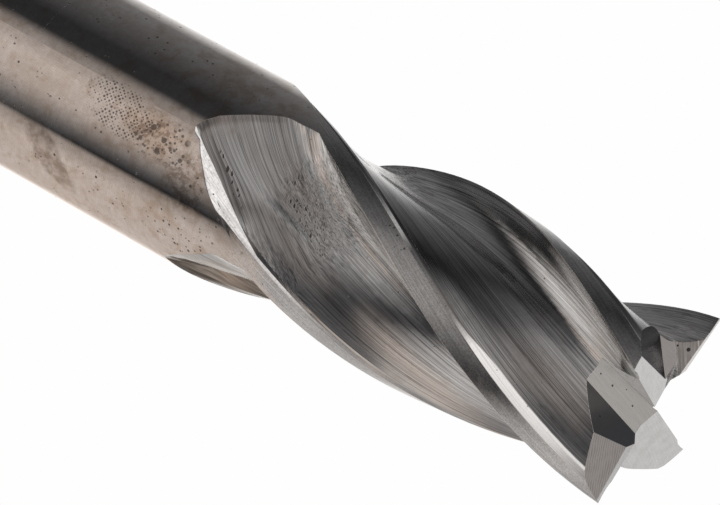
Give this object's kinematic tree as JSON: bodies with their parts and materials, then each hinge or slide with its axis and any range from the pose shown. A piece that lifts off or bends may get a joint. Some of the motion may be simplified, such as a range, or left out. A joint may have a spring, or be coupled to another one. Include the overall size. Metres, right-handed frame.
{
  "type": "end mill",
  "caption": "Straight-shank square end mill with right-hand helical flutes, ground end teeth and a clamping flat, for side and face milling of slots and shoulders.",
  "frame": {"origin": "centre of the shank's back face, on the tool's axis", "axes": "+Z along the axis from the back face to the cutting end; +X through the cutting corner of one long end tooth; +Y through the cutting corner of one short end tooth, and square to the clamping flat"},
  "size_m": [0.02, 0.02, 0.104],
  "materials": {
    "cutting_steel": "ground high-speed steel: fine lines along the helix in the flutes, rough-ground lands, small corrosion pits",
    "shank_steel": "cylindrically ground steel, satin, with light oil stains and scattered pits"
  },
  "bodies": {
    "root": {"cutting_head": "cutting_steel", "shank": "shank_steel"}
  },
  "joints": []
}
